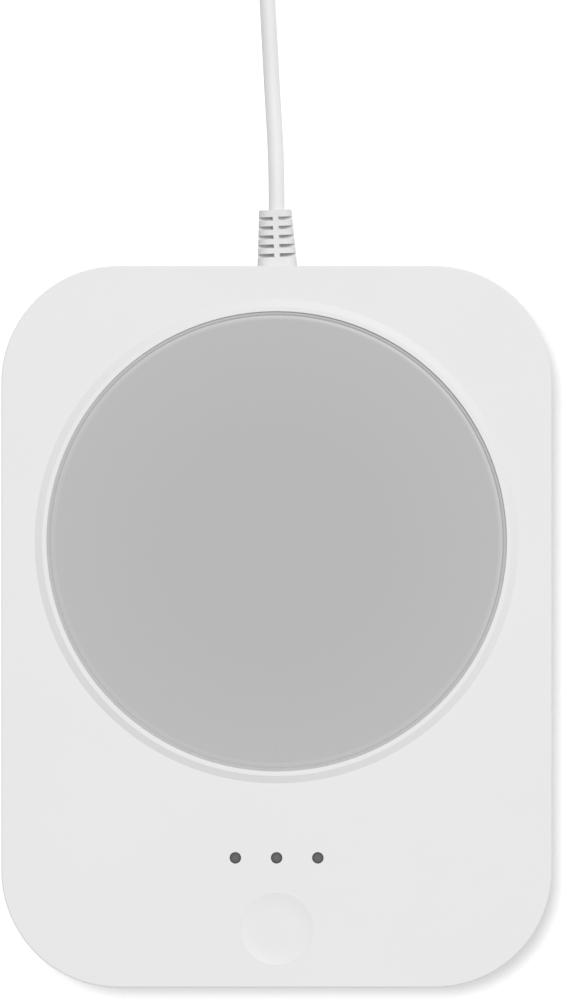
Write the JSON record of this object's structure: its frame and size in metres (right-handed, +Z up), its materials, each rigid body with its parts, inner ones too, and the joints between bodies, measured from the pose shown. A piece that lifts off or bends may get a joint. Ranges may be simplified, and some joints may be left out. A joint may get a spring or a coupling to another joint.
{
  "type": "electric mug warmer",
  "caption": "Flat rounded mug warmer with a round heating plate in a raised lip, status windows, a press key and a thin rear cord with a coiled end and plug.",
  "frame": {"origin": "on the table, under the middle of the housing", "axes": "+Z up, +Y towards the cord, +X to the right as seen from the key's side"},
  "size_m": [0.1106, 0.26, 0.0186],
  "materials": {
    "shell_white": "fine matte moulded ABS",
    "base_white": "fine matte moulded ABS",
    "key_white": "satin moulded ABS",
    "plate_grey": "matte grey non-stick coat",
    "seal_grey": "matte silicone",
    "film_amber": "polyimide film",
    "insulation_cream": "glass-fibre board",
    "retainer_steel": "zinc-plated sheet",
    "screw_steel": "zinc plated",
    "sensor_glass": "epoxy bead",
    "fuse_metal": "bare metal",
    "window_smoke": "smoked clear",
    "board_green": "solder mask",
    "chip_black": "moulded epoxy",
    "can_metal": "bare can",
    "header_white": "nylon",
    "led_cream": "moulded epoxy",
    "switch_black": "nylon",
    "switch_metal": "stamped sheet",
    "foot_rubber": "soft matte",
    "cord_white": "satin soft PVC",
    "wire_red": "PVC",
    "wire_white": "silicone",
    "wire_blue": "PVC",
    "tie_white": "coated wire ribbon",
    "plug_white": "moulded soft PVC",
    "plug_metal": "nickel-plated shell",
    "plug_insert": "moulded insert",
    "contact_gold": "gold plated"
  },
  "bodies": {
    "housing": {"top_cover": "shell_white", "base_cover": "base_white", "heating_plate": "plate_grey", "plate_seal": "seal_grey", "heater_film": "film_amber", "insulation_disc": "insulation_cream", "heater_retainer": "retainer_steel", "retainer_screws": "screw_steel", "thermistor": "sensor_glass", "thermal_fuse": "fuse_metal", "fuse_clip": "retainer_steel", "switch_base": "switch_black", "switch_frame": "switch_metal", "switch_dome": "switch_metal", "control_board": "board_green", "board_screws": "screw_steel", "indicator_leds": "led_cream", "light_pipe": "window_smoke", "board_chips": "chip_black", "board_capacitor": "can_metal", "wire_header": "header_white", "case_screws": "screw_steel", "rubber_feet": "foot_rubber", "strain_relief": "cord_white", "lead_cord": "cord_white", "cord_clamp": "base_white", "clamp_screws": "screw_steel", "supply_wires": "wire_red", "heater_wires": "wire_white", "sensor_wires": "wire_blue", "power_cord": "cord_white", "cord_tail": "cord_white", "cord_coil": "cord_white", "cord_tie": "tie_white", "plug_body": "plug_white", "plug_shell": "plug_metal", "plug_tongue": "plug_insert", "plug_contacts": "contact_gold"},
    "key": {"mode_key": "key_white", "switch_plunger": "switch_black"}
  },
  "joints": [
    {"name": "key_press", "type": "slide", "parent": "housing", "child": "key", "axis": [0, 0, -1], "range_m": [0, 0.0005], "stiffness_N_per_m": 300, "springref_m": -0.0001, "deforming": ["switch_dome"]}
  ]
}
